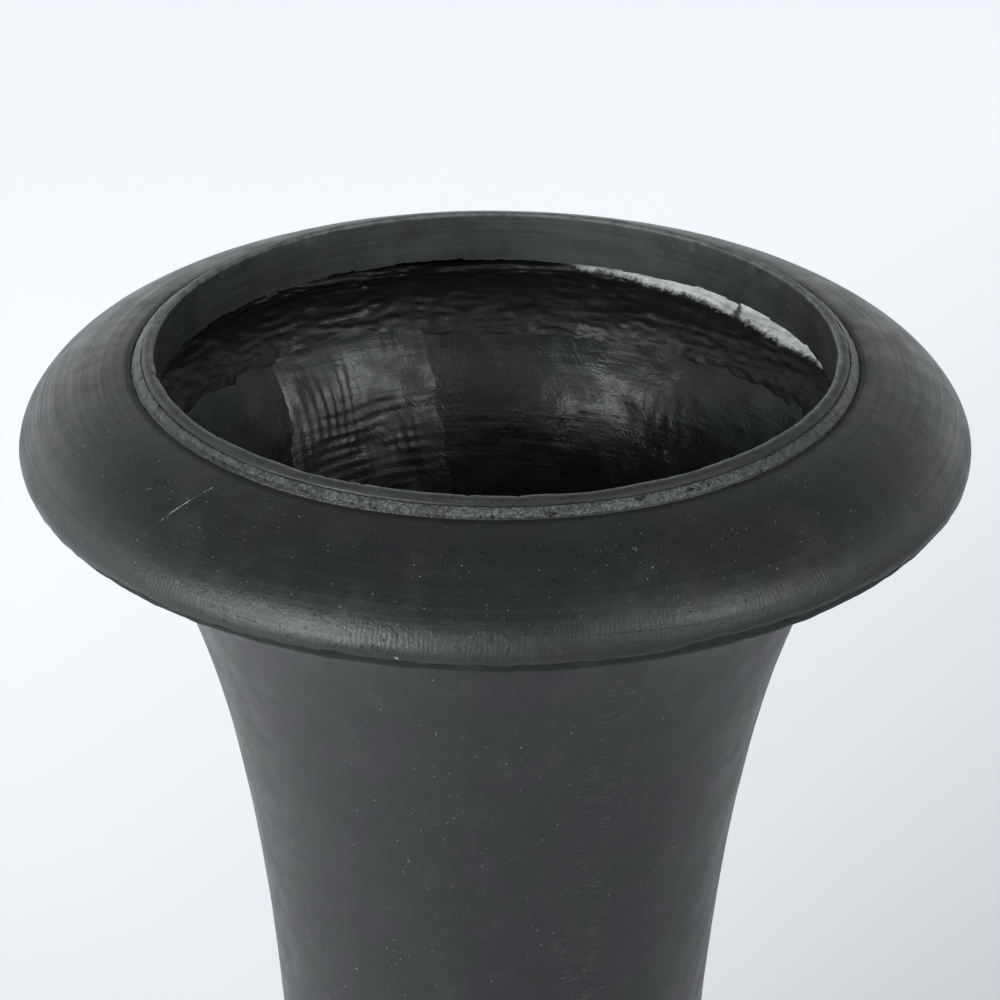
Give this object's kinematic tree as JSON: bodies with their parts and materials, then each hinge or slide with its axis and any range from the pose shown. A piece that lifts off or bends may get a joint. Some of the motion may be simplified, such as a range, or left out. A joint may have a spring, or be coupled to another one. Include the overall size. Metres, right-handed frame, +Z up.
{
  "type": "tall trumpet planter",
  "caption": "Tall black trumpet planter of fibre clay: flared body of two half shells, wide domed collar with a rolled edge, round mouth ring, drained base with a pull-out bung.",
  "frame": {"origin": "centre of the foot on the surface that the planter stands on", "axes": "+Z up along the planter's axis of revolution; -Y is the front, and the near body seam is 21 degrees from -Y towards +X"},
  "size_m": [0.4, 0.4, 0.65],
  "materials": {
    "body_shell": "satin",
    "collar_skin": "satin",
    "ring_skin": "satin",
    "seam_filler": "matte",
    "joint_filler": "matte",
    "lip_filler": "matte",
    "mat_lining": "gloss",
    "woven_tape": "satin",
    "neck_cloth": "satin",
    "bare_cloth": "matte",
    "base_board": "matte",
    "plug_rubber": "matte"
  },
  "bodies": {
    "pot": {"body_half_left": "body_shell", "body_half_right": "body_shell", "seam_filler_front": "seam_filler", "seam_filler_back": "seam_filler", "mat_lining_left": "mat_lining", "mat_lining_right": "mat_lining", "seam_tape_front": "woven_tape", "seam_tape_back": "woven_tape", "collar": "collar_skin", "collar_joint_filler": "joint_filler", "neck_tape": "neck_cloth", "mouth_ring": "ring_skin", "lip_filler": "lip_filler", "lip_tape": "bare_cloth", "base_disc": "base_board", "base_tape": "neck_cloth"},
    "drain_plug": {"drain_plug": "plug_rubber"}
  },
  "joints": [
    {"name": "plug_pull", "type": "slide", "parent": "pot", "child": "drain_plug", "axis": [0, 0, -1], "range_m": [0, 0.025]}
  ]
}
